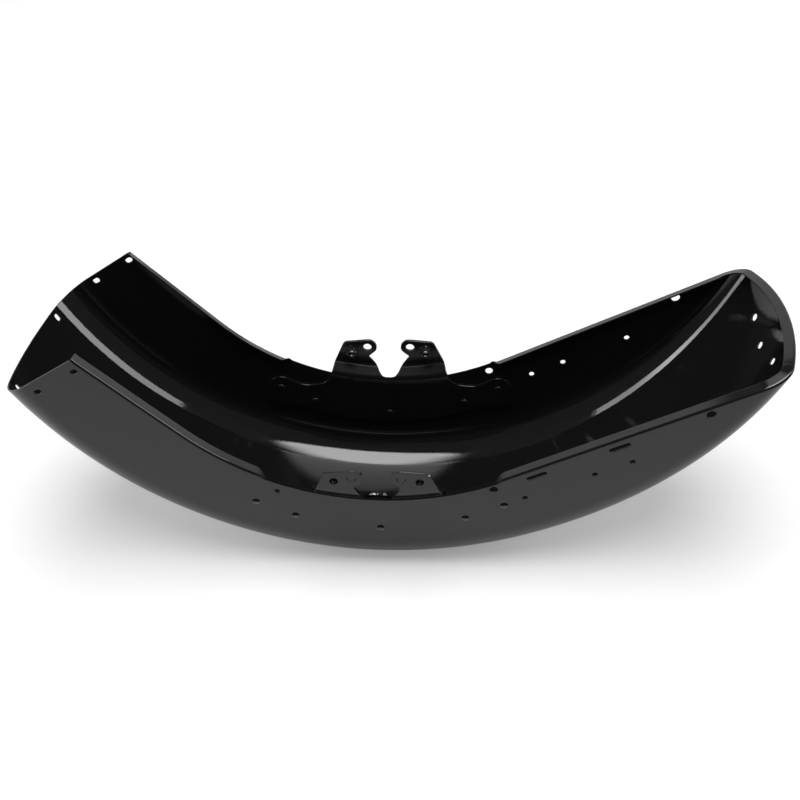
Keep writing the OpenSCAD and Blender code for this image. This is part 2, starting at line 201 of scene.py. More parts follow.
def bracket_section():
    """The plate's section as a path of (r, y), from the foot on the wall to below the ear."""
    foot_r, end_r, spacing, arc_steps = SH_C[0] + 6, 170.0, 0.7, 12
    mid = SHEET + PLATE / 2 + PLATE_GAP
    rim_low = RIM_R + np.linalg.norm(RIM_C)
    low = rim_low - STEP_GAP - BEND_R * tan(STEP_A / 2)
    rise = (EAR_Y - wall_y(low, SHEET + PLATE / 2)) / tan(STEP_A)
    path = [np.array(p) for p in ((foot_r, wall_y(foot_r, mid)), (low, wall_y(low, mid)),
                                  (low - rise, EAR_Y), (end_r, EAR_Y))]
    pts = [path[0]]
    for i in (1, 2):
        d0, d1 = unit(path[i] - path[i - 1]), unit(path[i + 1] - path[i])
        bend = math.atan2(d0[0] * d1[1] - d0[1] * d1[0], d0 @ d1)
        sg = math.copysign(1, bend)
        n0 = np.array([-d0[1], d0[0]])
        c = path[i] - d0 * BEND_R * tan(abs(bend) / 2) + n0 * sg * BEND_R
        for k in range(arc_steps + 1):
            a = bend * k / arc_steps
            v = np.array([n0[0] * cos(a) - n0[1] * sin(a), n0[0] * sin(a) + n0[1] * cos(a)])
            pts.append(c - sg * BEND_R * v)
    pts.append(path[3])
    pts = np.array(pts)
    dense = [pts[0]]
    for a, b in zip(pts[:-1], pts[1:]):
        n = max(1, int(np.linalg.norm(b - a) / spacing))
        dense += [a + (b - a) * (k + 1) / n for k in range(n)]
    dense = np.array(dense)
    q = np.concatenate([[0], np.cumsum(np.linalg.norm(np.diff(dense, axis=0), axis=1))])
    return dense, q, low, low - rise


BR_PTS, BR_Q, STEP_LOW, STEP_HIGH = bracket_section()


def q_of_r(r):
    """Distance along the plate's section at which it has the radius r."""
    return np.interp(-np.asarray(r, float), -BR_PTS[:, 0], BR_Q)


def plate_mid_point(d):
    """Middle of the far bracket's plate at the domain points d = (angle * K, path length)."""
    d = np.asarray(d, float)
    r = np.interp(d[..., 1], BR_Q, BR_PTS[:, 0])
    y = np.interp(d[..., 1], BR_Q, BR_PTS[:, 1])
    phi = d[..., 0] / K
    return np.stack([r * np.cos(phi), y, r * np.sin(phi)], -1)


# Mesh building
class Build:
    """Collects vertices with their own normals, and faces; flat faces get their face normal."""

    def __init__(self):
        self.v, self.n, self.f = [], [], []
        # Painted shade and painted sheen, one value per vertex
        self.shade, self.painted_sheen = [], []
        self.flat = set()
        self.count = 0

    def add(self, pts, nrm, shade=0.0, painted_sheen=0.0):
        pts = np.asarray(pts, float).reshape(-1, 3)
        self.v.append(pts)
        self.shade.append(np.zeros(len(pts)) + shade)
        self.painted_sheen.append(np.zeros(len(pts)) + painted_sheen)
        self.n.append(np.asarray(nrm, float).reshape(-1, 3))
        start = self.count
        self.count += len(pts)
        return np.arange(start, self.count)

    def quads(self, a, b, closed=False, flip=False):
        n = len(a)
        for i in range(n if closed else n - 1):
            j = (i + 1) % n
            f = (a[i], a[j], b[j], b[i])
            self.f.append(tuple(int(k) for k in (f[::-1] if flip else f)))

    def grid(self, rows, closed=False, flip=False):
        for a, b in zip(rows[:-1], rows[1:]):
            self.quads(a, b, closed, flip)

    def sheet(self, top, bottom, tris):
        """Faces over both sides of a sheet."""
        self.f += [tuple(int(k) for k in top[t]) for t in tris[:, ::-1]]
        self.f += [tuple(int(k) for k in bottom[t]) for t in tris]

    def cap(self, loop, flip=False):
        loop = [int(k) for k in (loop[::-1] if flip else loop)]
        self.flat.add(len(self.f))
        self.f.append(tuple(loop))

    def object(self, name, material, mirror=False):
        v, n = np.concatenate(self.v), np.concatenate(self.n)
        faces = self.f
        if mirror:
            v, n = v * [1, -1, 1], n * [1, -1, 1]
            faces = [f[::-1] for f in faces]
        v, n = placed(v), turned(unit(n))
        mesh = bpy.data.meshes.new(name)
        mesh.from_pydata(v.tolist(), [], faces)
        mesh.update()
        vi = np.empty(len(mesh.loops), dtype=np.int32)
        mesh.loops.foreach_get("vertex_index", vi)
        loop_n = n[vi]
        for k in self.flat:
            p = mesh.polygons[k]
            loop_n[p.loop_start:p.loop_start + p.loop_total] = p.normal
        mesh.polygons.foreach_set("use_smooth", [True] * len(mesh.polygons))
        mesh.normals_split_custom_set(loop_n.tolist())
        # The painted shade and painted sheen go on the mesh as point attributes.
        for attribute, values in (("painted_shade", self.shade), ("painted_sheen", self.painted_sheen)):
            layer = mesh.attributes.new(attribute, "FLOAT", "POINT")
            layer.data.foreach_set("value", np.concatenate(values))
        mesh.materials.append(material)
        ob = bpy.data.objects.new(name, mesh)
        bpy.context.collection.objects.link(ob)
        return ob


def inside(points, loop):
    """Which points lie inside a closed loop of the flat domain."""
    x, y = points[:, 0], points[:, 1]
    hit = np.zeros(len(points), bool)
    x0, y0 = loop[-1]
    for x1, y1 in loop:
        crosses = (y1 > y) != (y0 > y)
        with np.errstate(divide="ignore", invalid="ignore"):
            hit ^= crosses & (x < (x0 - x1) * (y - y1) / (y0 - y1) + x1)
        x0, y0 = x1, y1
    return hit


def triangulate(outer, holes, extra, clear):
    """Triangles over a region of the flat domain; the loops' points come first, in order."""
    loops = [outer] + holes
    fixed = np.concatenate(loops)
    edges, start = [], 0
    for lp in loops:
        n = len(lp)
        edges += [(start + i, start + (i + 1) % n) for i in range(n)]
        start += n
    keep = inside(extra, outer)
    for h in holes:
        keep &= ~inside(extra, h)
    extra = extra[keep]
    near = np.full(len(extra), 1e9)
    for part in np.array_split(fixed, max(1, len(fixed) // 200)):
        near = np.minimum(near, np.linalg.norm(extra[:, None] - part[None], axis=2).min(1))
    extra = extra[near > clear]
    pts = np.concatenate([fixed, extra])
    out = delaunay_2d_cdt([Vector(p) for p in pts], edges, [], 0, 1e-6, True)
    where = [ids[0] if ids else None for ids in out[3]]
    tris = np.array([[where[i] for i in f] for f in out[2] if all(where[i] is not None for i in f)])
    c = pts[tris].mean(1)
    ok = inside(c, outer)
    for h in holes:
        ok &= ~inside(c, h)
    tris = tris[ok]
    e1, e2 = pts[tris[:, 1]] - pts[tris[:, 0]], pts[tris[:, 2]] - pts[tris[:, 0]]
    area = e1[:, 0] * e2[:, 1] - e1[:, 1] * e2[:, 0]
    tris[area < 0] = tris[area < 0][:, ::-1]
    return pts, tris


def edge_profile(bevel, thick, steps=3):
    """Points (out, down, normal out, normal up) round a sheet's edge, from one face to the other."""
    rows = []
    for k in range(1, steps + 1):
        a = pi / 2 * k / steps
        rows.append((bevel * sin(a), bevel * (1 - cos(a)), sin(a), cos(a)))
    for k in range(steps):
        a = pi / 2 * k / steps
        rows.append((bevel * cos(a), thick - bevel * (1 - sin(a)), cos(a), -sin(a)))
    return rows


def close_edge(b, top, bottom, p, n, t, profile, loop_sign, shade=0.0):
    """Sweeps the edge profile round a closed loop of a sheet, with a painted shade value on it. t runs
    along the loop.
    """
    out = unit(np.cross(n, t)) * loop_sign
    rows = [top]
    for o, dn, no, nu in profile:
        rows.append(b.add(p + out * o - n * dn, out * no + n * nu, shade))
    rows.append(bottom)
    b.grid(rows, closed=True, flip=loop_sign < 0)


def loop_tangent(p):
    return unit(np.roll(p, -1, 0) - np.roll(p, 1, 0))


def circle(c, r, n=28, phase=0.0):
    a = np.arange(n) * 2 * pi / n + phase
    return np.asarray(c) + r * np.stack([np.cos(a), np.sin(a)], -1)


def stadium(c, length, width, slope, n=10):
    e = (length - width) / 2
    a = np.linspace(-pi / 2, pi / 2, n)
    half = np.stack([e + width / 2 * np.cos(a), width / 2 * np.sin(a)], -1)
    pts = np.concatenate([half, -half])
    rot = np.array([[cos(slope), -sin(slope)], [sin(slope), cos(slope)]])
    return np.asarray(c) + pts @ rot.T


def ccw(loop):
    x, y = loop[:, 0], loop[:, 1]
    return loop if np.sum(x * np.roll(y, -1) - y * np.roll(x, -1)) > 0 else loop[::-1]


# Places shared with the CAD part
TAIL_INSET = 8.5                # from the tail edge to the middle of its slots
TRIM_A, TRIM_INSET = rad(22.9), 12.3
ROW_C = np.array([0, -93.4])    # the rivets lie on an arc round this point
ROW_R, ROW_ANGLES = 208.0, (-32.7, -22, 0, 22, 32.7)
BOLT_X, BOLT_Z = 21.7, 225.4
NUT_X, NUT_Z = 37.5, 229.2
HEAD_R, HEAD_H = 3.7, 0.85


def front_place(s, depth):
    """The side view point s along the front rim and depth inside it."""
    return along(FRONT_N) * s - FRONT_N * (FRONT_D + depth)


def tail_place(s):
    """The side view point s away from the tail corner, in the row of slots."""
    return TAIL_CORNER - along(TAIL_N) * s - TAIL_N * TAIL_INSET


def row_point(a, r):
    """The side view point at a degrees on the arc of radius r round ROW_C."""
    return ROW_C + r * np.array([sin(rad(a)), -cos(rad(a))])


REAR_TRIM = RIM_C - (RIM_R + TRIM_INSET) * np.array([sin(TRIM_A), cos(TRIM_A)])
RIVETS = [row_point(a, ROW_R) - [BACK, 0] for a in ROW_ANGLES]
BOLTS = [np.array([s * BOLT_X - BACK, -BOLT_Z]) for s in (-1, 1)]
NUTS = [np.array([s * NUT_X - BACK, -NUT_Z]) for s in (-1, 1)]


# The shell
def rim_samples():
    """Corner points of the rim in the domain, from the near tail corner round the nose."""
    def fine(phi, side):
        return np.stack([phi * K, side * wall_s(rim_r(phi), phi)], -1)

    rounds = 12
    tail_angle = math.atan2(TAIL_CORNER[1], TAIL_CORNER[0])
    nose_phi = NOSE_A
    for _ in range(rounds):
        nose_phi = math.atan2(*at_radius(FRONT_N, -FRONT_D, float(shoulder(nose_phi)[6]))[::-1])
    phi = np.linspace(tail_angle, nose_phi, 420)
    near = fine(phi, -1)
    end = float(shoulder(nose_phi)[3])
    s = np.linspace(-end, end, 110)[1:-1]
    phi_f = np.full(len(s), nose_phi)
    for _ in range(rounds):
        r = np.hypot(*skin_point(np.stack([phi_f * K, s], -1))[:, [0, 2]].T)
        phi_f = math.atan2(FRONT_N[1], FRONT_N[0]) - np.arccos(-FRONT_D / r)
    nose = np.stack([phi_f * K, s], -1)
    return np.concatenate([near, nose, fine(phi[::-1], 1)])


def resample(d, point, step):
    """The same line in the domain, with its points about step mm apart on the surface."""
    p = point(d)
    q = np.concatenate([[0], np.cumsum(np.linalg.norm(np.diff(p, axis=0), axis=1))])
    n = int(q[-1] / step)
    t = np.linspace(0, q[-1], n + 1)
    return np.stack([np.interp(t, q, d[:, k]) for k in (0, 1)], -1)


def tail_phi(s, inset):
    """Angle at which the skin meets the tail cut, inset from it, at s along the section."""
    p = skin_point(np.stack([0 * s + TAIL_A * K, s], -1))
    r, y = np.hypot(p[:, 0], p[:, 2]), p[:, 1]
    return (math.atan2(TAIL_N[1], TAIL_N[0]) + np.arccos((TAIL_D - inset - TAIL_SKEW * y) / r)) - 2 * pi


def surface_step(point, d, vec):
    """Domain step that moves along vec on the surface."""
    h = 0.05
    pu = (point(d + [h, 0]) - point(d - [h, 0])) / (2 * h)
    pv = (point(d + [0, h]) - point(d - [0, h])) / (2 * h)
    a, b, c = (pu * pu).sum(-1), (pu * pv).sum(-1), (pv * pv).sum(-1)
    e, f = (pu * vec).sum(-1), (pv * vec).sum(-1)
    det = a * c - b * b
    return np.stack([(c * e - b * f) / det, (a * f - b * e) / det], -1)


def rim_profile():
    """Where the skin ends in the domain, the flange's share there, the rows of points and normals
    round the flange, and the sharp corner that its bend rounds off."""
    fade_turn, fade_width, bend, sharp_bend = 9.0, 8.5, 2.5, 1.7
    bare_back, bare_length = 3.0, 2.7
    corner = resample(rim_samples(), skin_point, 2.6)
    pc, nc = skin_point(corner), normals_of(skin_point, corner)
    tc = unit(np.gradient(pc, axis=0))
    out = unit(np.cross(nc, tc))
    if out[len(out) // 8, 2] < 0:
        out = -out
    x = pc[:, 0]
    plane = np.where(x[:, None] > 0, [FRONT_N[0], 0, FRONT_N[1]], [REAR_N[0], 0, REAR_N[1]])
    inward = np.cross(tc, plane)
    inward = unit(inward * np.sign((inward * -nc).sum(-1))[:, None])
    turn = np.arctan2((inward * -nc).sum(-1), (inward * out).sum(-1))
    past = np.where(x > 0, x - FLANGE_FRONT, FLANGE_REAR - x)
    on = smooth(past / fade_turn)
    width = np.clip(past / fade_width, 0, 1)
    tilt = np.where(x > 0, FLANGE_TILT_FRONT, FLANGE_TILT_REAR)
    angle = np.maximum((turn - tilt) * on, 1e-3)
    outer_r = bend - (bend - sharp_bend) * smooth((turn - rad(95)) / rad(40))
    back = outer_r * np.tan(turn / 2) * on + bare_back * (1 - on)
    length = outer_r * (turn - tilt) * on + bare_length * (1 - on)
    base = corner + surface_step(skin_point, corner, -out * back[:, None])
    base[0, 0] = tail_phi(base[:1, 1], TAIL_BEVEL)[0] * K
    base[-1, 0] = tail_phi(base[-1:, 1], TAIL_BEVEL)[0] * K
    p0, n0 = skin_point(base), normals_of(skin_point, base)
    t0 = unit(np.gradient(p0, axis=0))
    o0 = unit(np.cross(n0, t0))
    o0 *= np.sign((o0 * out).sum(-1))[:, None]

    # Bend, flange, rounded edge and back along the inside
    rows = []
    radius = length / angle
    for k in range(1, BEND_STEPS + 1):
        a = angle * k / BEND_STEPS
        rows.append((p0 + (radius * np.sin(a))[:, None] * o0 - (radius * (1 - np.cos(a)))[:, None] * n0,
                     np.cos(a)[:, None] * n0 + np.sin(a)[:, None] * o0))
    end, end_n = rows[-1]
    direction = np.cos(angle)[:, None] * o0 - np.sin(angle)[:, None] * n0
    flat = np.maximum((FLANGE_W - outer_r) * width, 0.0) + 0.05
    flat_end = end + direction * flat[:, None]
    rows.append((flat_end, end_n))
    for o, dn, no, nu in edge_profile(RIM_BEVEL, SHEET):
        rows.append((flat_end + direction * o - end_n * dn, direction * no + end_n * nu))
    rows.append((flat_end - end_n * SHEET, -end_n))
    rows += [(p - n * SHEET, -n) for p, n in rows[BEND_STEPS - 1::-1]]
    # The end sections lie in the tail cut.
    for k in (0, -1):
        for i, (p, n) in enumerate(rows):
            gap = TAIL_D - TAIL_BEVEL - p[k] @ TAIL_CUT
            p = p.copy()
            p[k] += t0[k] * gap / (t0[k] @ TAIL_CUT)
            rows[i] = (p, n)
    return base, on, rows, pc


def shell_holes():
    """The shell's holes and slots as pairs of a loop in the domain and its bevel."""
    grow, stretch = 2 * HOLE_BEVEL, [K / CROWN_R, 1]
    slot_length, slot_width, rivet_r, rivet_bevel = 7.4, 4.7, 3.3, 0.05
    loops = []

    def on_wall(place, radius, side, points=28):
        loops.append((wall_domain(circle(place, radius + HOLE_BEVEL, points), side), HOLE_BEVEL))

    def slot_on_wall(place, length, width, slope, side):
        loops.append((wall_domain(stadium(place, length + grow, width + grow, slope), side), HOLE_BEVEL))

    def crown_place(phi, y):
        return [phi * K, ARCH_R * math.asin(y / ARCH_R)]

    for side in (-1, 1):
        on_wall(front_place(168, 7), 4.0, side)
        on_wall(front_place(-27, 7.5), 3.75, side)
        for s in (7.6, 50.5):
            slot_on_wall(tail_place(s), slot_length, slot_width, TAIL_SLOPE, side)
        for s in ((-7, 59, 93) if side < 0 else (10, 44, 111)):
            on_wall(front_place(s, 30), 2.5, side, 24)
        for q in RIVETS:
            loops.append((wall_domain(circle(q, rivet_r + rivet_bevel, 32), side), rivet_bevel))
    on_wall(REAR_TRIM, 2.5, -1, 24)
    for s in (13.5, 89.5):
        slot_on_wall(front_place(s, 9), 19, 5, FRONT_SLOPE, -1)
    for inset, y in ((42, 0), (35, -30.5), (35, 30.5)):
        hole = circle([0, 0], 3.25 + HOLE_BEVEL) * stretch
        loops.append((hole + crown_place(NOSE_A - inset / CROWN_R, y), HOLE_BEVEL))
    for y in (-51, 51):
        slot = stadium([0, 0], slot_length + grow, slot_width + grow, 0) * stretch
        loops.append((slot + crown_place(TAIL_A + TAIL_INSET / CROWN_R, y), HOLE_BEVEL))
    return [(ccw(loop), bevel) for loop, bevel in loops]


def inner_points():
    """Points within the skin: a grid, closer across the shoulders, and rings round the rivets."""
    phi_step, s_step, fine_step, low_end, cleared = 3.7, 3.9, 2.0, 240, 7.2
    phi = np.arange(tail_phi(np.array([0.0]), 0)[0] * K - 10, NOSE_A * K + 120, phi_step)
    # The fine rows cover the shoulder wherever its radius puts it.
    s1, s2 = S1 - 1, float(max(S2, shoulder(NOSE_A)[3])) + 1
    fine, wall = np.arange(s1, s2, fine_step), np.arange(s2, low_end, s_step)
    sv = np.concatenate([np.arange(-s1 + 2, s1, s_step), fine, -fine, wall, -wall])
    g = np.stack(np.meshgrid(phi, sv, indexing="ij"), -1).reshape(-1, 2)
    rings = []
    for side in (-1, 1):
        for q in RIVETS:
            c = wall_domain(q, side)
            g = g[np.linalg.norm((g - c) * [np.hypot(*q) / K, 1], axis=1) > cleared]
            for i, r in enumerate((3.75, 4.0, 4.3, 4.6, 4.9, 5.2, 5.5, 5.85, 6.5)):
                rings.append(wall_domain(circle(q, r, 36, i * pi / 36), side))
    return np.concatenate([g] + rings)


def build_shell(material):
    b = Build()
    base, on, rows, corner = rim_profile()
    nb = len(base)
    # The tail edge runs from the far corner back to the near one.
    s = np.linspace(base[-1, 1], base[0, 1], 150)[1:-1]
    tail = np.stack([tail_phi(s, TAIL_BEVEL) * K, s], -1)
    outer = np.concatenate([base, tail])
    holes = shell_holes()
    pts, tris = triangulate(outer, [loop for loop, _ in holes], inner_points(), 0.18)
    p, n = skin_point(pts), normals_of(skin_point, pts)
    top = b.add(p, n)
    bottom = b.add(p - n * SHEET, -n)
    b.sheet(top, bottom, tris)

    # Painted shade takes the gloss off the bend and the bare rim over the brackets, so they render black.
    # A painted sheen pales the near flange.
    flat_rows = len(rows) - BEND_STEPS
    painted_shade = [np.clip(1 - abs(k - 3.2) / 2.2, 0, 1) * on for k in range(1, BEND_STEPS + 1)]
    painted_shade += [0.0 * on] * flat_rows
    painted_shade = [np.maximum(v, 0.95 * (1 - on)) for v in painted_shade]
    pale = on * smooth((-corner[:, 1] - 40) / 20) * smooth((290 - corner[:, 0]) / 30)
    no_sheen = np.zeros(nb)
    sheen_rows = [no_sheen] * (BEND_STEPS - 1) + [pale] * 2 + [no_sheen] * (flat_rows - 1)
    rim_rows = [top[:nb]] + [b.add(*r, v, w) for r, v, w in zip(rows, painted_shade, sheen_rows)] + [bottom[:nb]]
    b.grid(rim_rows)

    chain = np.concatenate([[nb - 1], np.arange(nb, nb + len(tail)), [0]])
    pe, ne = p[chain], n[chain]
    te = unit(np.gradient(pe, axis=0))
    oe = unit(np.cross(te, ne))
    oe *= np.sign(oe @ TAIL_CUT)[:, None]
    tail_rows = [top[chain]]
    for o, dn, no, nu in edge_profile(TAIL_BEVEL, SHEET):
        tail_rows.append(b.add(pe + oe * o - ne * dn, oe * no + ne * nu))
    tail_rows.append(bottom[chain])
    b.grid(tail_rows)
    for rim_end, tail_end, flip in ((0, -1, False), (-1, 0, True)):
        loop = [r[rim_end] for r in rim_rows] + [r[tail_end] for r in tail_rows[::-1]][1:-1]
        b.cap(loop, flip)
    start = len(outer)
    for loop, bevel in holes:
        ids = np.arange(start, start + len(loop))
        close_edge(b, top[ids], bottom[ids], p[ids], n[ids], loop_tangent(p[ids]),
                   edge_profile(bevel, SHEET, 2), -1)
        start += len(loop)
    return b.object("shell_skin", material)


# The brackets
def rounded(corners):
    """A closed outline through (x, z, radius) corners, with each corner rounded."""
    out = []
    n = len(corners)
    for i in range(n):
        p = np.array(corners[i][:2], float)
        before, after = np.array(corners[i - 1][:2]), np.array(corners[(i + 1) % n][:2])
        a, c2 = unit(before - p), unit(after - p)
        half = math.acos(a @ c2) / 2
        r = corners[i][2]
        c = p + unit(a + c2) * r / sin(half)
        st, en = p + a * r / tan(half) - c, p + c2 * r / tan(half) - c
        a0 = math.atan2(st[1], st[0])
        sweep = (math.atan2(en[1], en[0]) - a0 + 3 * pi) % (2 * pi) - pi
        m = max(1, math.ceil(abs(sweep) / rad(7)))
        for k in range(m + 1):
            t = a0 + sweep * k / m
            out.append(c + r * np.array([cos(t), sin(t)]))
    return np.array(out)


def bracket_outline():
    bx, bd, nx, nd = BOLT_X, BOLT_Z, NUT_X, NUT_Z
    top, gap, dip = 215.8, 256.5, 266.0
    lb = row_point(ROW_ANGLES[-1], ROW_R)
    half = [(bx - 13.7, -gap, 11), (bx - 0.9, -bd - 11.6, 1), (bx - 9.6, -bd - 3.6, 7),
            (bx - 9.3, -top, 8.5), (nx + 8, -top - 3.4, 6), (nx + 18.5, -nd - 14, 25),
            (nx + 28, -dip + 2.5, 14), (lb[0] - 24, -dip, 20), (lb[0] + 3, lb[1] + 17.5, 14),
            (lb[0] + 19, lb[1] - 2, 11), (lb[0] + 12, lb[1] - 21, 10)]
    low = [row_point(k * 13, 221.0) for k in (2, 1, 0, -1, -2)]
    return rounded(half + [(p[0], p[1], 40) for p in low]
                   + [(-c[0], c[1], c[2]) for c in half[::-1]]) - [BACK, 0]


def plate_domain(p):
    p = np.asarray(p, float)
    r, phi = np.hypot(p[..., 0], p[..., 1]), np.arctan2(p[..., 1], p[..., 0])
    return np.stack([phi * K, q_of_r(r)], -1)


def build_bracket(name, material, mirror):
    b = Build()
    raw = bracket_outline()
    d = np.concatenate([raw, raw[:1]])
    q = np.concatenate([[0], np.cumsum(np.linalg.norm(np.diff(d, axis=0), axis=1))])
    t = np.linspace(0, q[-1], int(q[-1] / 1.6), endpoint=False)
    loop = np.stack([np.interp(t, q, d[:, k]) for k in (0, 1)], -1)
    loop = ccw(plate_domain(loop))
    pl = plate_mid_point(loop)
    nl = normals_of(plate_mid_point, loop, 0.4)
    ol = unit(np.cross(loop_tangent(pl), nl))
    test = loop + surface_step(plate_mid_point, loop, ol)
    if inside(test, loop).mean() > 0.5:
        ol = -ol
    loop = loop + surface_step(plate_mid_point, loop, -ol * PLATE_BEVEL)
    edges = [(loop, PLATE_BEVEL)]
    for centres, radius, bevel, points in ((BOLTS, 4.25, 0.45, 32), (NUTS, 3.7, 0.35, 28),
                                           (RIVETS, 2.5, 0.1, 20)):
        edges += [(ccw(plate_domain(circle(c, radius + bevel, points))), bevel) for c in centres]

    # The grid is closer over the step, between these two radii.
    low_q, high_q = q_of_r(262.0), q_of_r(244.0)
    phi = np.arange(loop[:, 0].min(), loop[:, 0].max(), 3.4)
    qv = np.concatenate([np.arange(0.5, low_q, 3.0), np.arange(low_q, high_q, 0.9),
                         np.arange(high_q, BR_Q[-1], 3.0)])
    g = np.stack(np.meshgrid(phi, qv, indexing="ij"), -1).reshape(-1, 2)
    pts, tris = triangulate(loop, [hole for hole, _ in edges[1:]], g, 0.5)
    p, n = plate_mid_point(pts), normals_of(plate_mid_point, pts, 0.4)

    # Painted shade on both sides of the step, and a painted highlight on the fold above it
    past_low = pts[:, 1] - q_of_r(STEP_LOW)
    past_high = pts[:, 1] - q_of_r(STEP_HIGH)
    on_step = smooth((past_low + 4) / 4) * (1 - smooth((past_high - 3.6) / 0.8))
    fold_highlight = np.clip(1 - np.abs(past_high - 5.4) / 1.1, 0, 1) * (past_high > 0)
    top = b.add(p + n * PLATE / 2, n, 0.97 * on_step, 0.6 * fold_highlight)
    inner = smooth((past_low + 4) / 4) * (1 - smooth((past_high + 2.5) / 5))
    bottom = b.add(p - n * PLATE / 2, -n, 0.96 * inner)
    b.sheet(top, bottom, tris)
    start = 0
    for i, (edge, bevel) in enumerate(edges):
        ids = np.arange(start, start + len(edge))
        ph, nh = p[ids] + n[ids] * PLATE / 2, n[ids]
        # Painted shade takes the gloss off the plate's edge round the bottom of the opening.
        opening = (np.abs(ph[:, 0] + BACK) < 19) & (ph[:, 2] < -236) & (ph[:, 2] > -262)
        close_edge(b, top[ids], bottom[ids], ph, nh, loop_tangent(ph),
                   edge_profile(bevel, PLATE), 1 if i == 0 else -1, 0.95 * opening)
        start += len(edge)
    return b.object(name, material, mirror)


# Rivets and nuts
def lathe(b, profile, origin, axis, segs=32):
    """Turns (radius, height) points round an axis; profile goes from axis to axis or is closed."""
    axis = unit(axis)
    ref = np.array([0.0, 1, 0]) if abs(axis[1]) < 0.9 else np.array([1.0, 0, 0])
    u = unit(np.cross(ref, axis))
    v = np.cross(axis, u)
    prof = np.array(profile, float)
    closed = prof[0, 0] > 1e-6
    m = len(prof)
    a = np.arange(segs) * 2 * pi / segs
    ring = np.cos(a)[:, None] * u + np.sin(a)[:, None] * v
    # Sharp profile points are doubled, so each stretch keeps its own normals.
    for i in range(m if closed else m - 1):
        p, q = prof[i], prof[(i + 1) % m]
        if np.linalg.norm(q - p) < 1e-6:
            continue
        e = unit(q - p)
        nr = np.array([e[1], -e[0]])
        ra = b.add(origin + ring * p[0] + axis * p[1], ring * nr[0] + axis * nr[1])
        rb = b.add(origin + ring * q[0] + axis * q[1], ring * nr[0] + axis * nr[1])
        b.quads(ra, rb, closed=True)


def arc_points(c, r, a0, a1, n=5):
    """Points of an arc round c from a0 to a1 degrees."""
    angles = [rad(a0 + (a1 - a0) * k / n) for k in range(n + 1)]
    return [(c[0] + r * cos(a), c[1] + r * sin(a)) for a in angles]


def smooth_object(b, name, material, mirror=False, angle=30):
    """Joins doubled points and shades smooth, with sharp edges from angle degrees up."""
    ob = b.object(name, material, mirror)
    bm = bmesh.new()
    bm.from_mesh(ob.data)
    bmesh.ops.remove_doubles(bm, verts=bm.verts, dist=2e-6)
    bmesh.ops.dissolve_degenerate(bm, dist=1e-7, edges=bm.edges)
    bmesh.ops.recalc_face_normals(bm, faces=bm.faces)
    bm.to_mesh(ob.data)
    bm.free()
    me = ob.data
    if me.has_custom_normals:
        me.attributes.remove(me.attributes["custom_normal"])
    me.polygons.foreach_set("use_smooth", [True] * len(me.polygons))
    me.set_sharp_from_angle(angle=rad(angle))
    return ob


def build_rivet(name, material, k, mirror):
    b = Build()
    dom = wall_domain(RIVETS[k], 1)
    origin = skin_point(dom)
    axis = normals_of(skin_point, dom)
    ball = (HEAD_R ** 2 + HEAD_H ** 2) / (2 * HEAD_H)
    hole_r, shank_r, tail_r, grip = 3.2, 2.45, 3.75, SHEET + PLATE + PLATE_GAP
    rises = [HEAD_R * i / 8 for i in range(9)]
    prof = [(r, math.sqrt(ball ** 2 - r ** 2) - ball + HEAD_H) for r in rises]
    prof += [(HEAD_R, -0.15), (hole_r, -0.2), (hole_r, -SHEET + 0.02), (shank_r, -SHEET - 0.3),
             (shank_r, -grip), (tail_r, -grip), (tail_r, -grip - 0.35)]
    prof += arc_points((tail_r - 0.7, -grip - 0.5), 0.7, 0, -75, 4)
    prof += [(1.6, -grip - 1.28), (0, -grip - 1.32)]
    lathe(b, prof[::-1], origin, axis, 36)
    # Painted shade darkens the upper half of the head, and a painted highlight pales its lower edge.
    for i, pts in enumerate(b.v):
        rel = pts - origin
        height = rel @ axis
        off = np.linalg.norm(rel - height[:, None] * axis, axis=1)
        head_on = (height > -0.16) * smooth((off - 0.5) / 0.9)
        b.shade[i] = head_on * smooth((rel[:, 2] + 0.3) / 0.8) * 0.97
        b.painted_sheen[i] = 3.0 * head_on * smooth((-rel[:, 2] - 1.2) / 1.0)
    return smooth_object(b, name, material, mirror, 38)


def build_nut(name, material, place, mirror):
    b = Build()
    origin = np.array([NUTS[place][0], EAR_Y - PLATE / 2, NUTS[place][1]])
    axis = np.array([0.0, -1, 0])
    core, body, foot, height, pitch, thread, top = 3.3, 5.25, 7.0, 6.0, 0.9, 0.32, 5.55
    prof = [(core + 0.5, 0.0), (foot - 0.2, 0.0), (foot, 0.2), (foot, 1.0), (foot - 0.2, 1.2),
            (body, 1.2), (body, height - 0.5), (body - 0.5, height), (core + 0.45, height)]
    while top > 0.7:
        prof += [(core, top), (core + thread, top - pitch / 2)]
        top -= pitch
    lathe(b, prof, origin, axis, 40)
    ob = smooth_object(b, name, material, mirror, 32)
    # Four clinched corners on the base
    near, half, low, high, chamfer = body - 0.4, 1.3, 0.2, 2.8, 0.45
    c = Build()
    for a in (45, 135, 225, 315):
        u = np.array([cos(rad(a)), 0, sin(rad(a))])
        w = np.array([-sin(rad(a)), 0, cos(rad(a))])
        rings = []
        for h, inset in ((low, 0), (high - chamfer, 0), (high, chamfer)):
            far, across = foot - inset, half - inset
            corners = ((near, across), (far, across), (far, -across), (near, -across))
            pts = [origin + u * out + w * aside + axis * h for out, aside in corners]
            rings.append(c.add(pts, [axis] * 4))
        c.grid(rings, closed=True)
        c.cap(rings[-1])
        c.cap(rings[0][::-1])
    horns = smooth_object(c, name + "_horns", material, mirror, 20)
    return ob, horns


# Materials
PAINT = (0.0035, 0.0035, 0.0038, 1)
# Grey of the dust specks and of the painted sheen
DUST_AND_SHEEN = (0.34, 0.34, 0.335, 1)
BARE_STEEL = (0.42, 0.40, 0.38, 1)
NUT_BLACK = (0.006, 0.006, 0.0065, 1)
NUT_WORN = (0.3, 0.29, 0.27, 1)


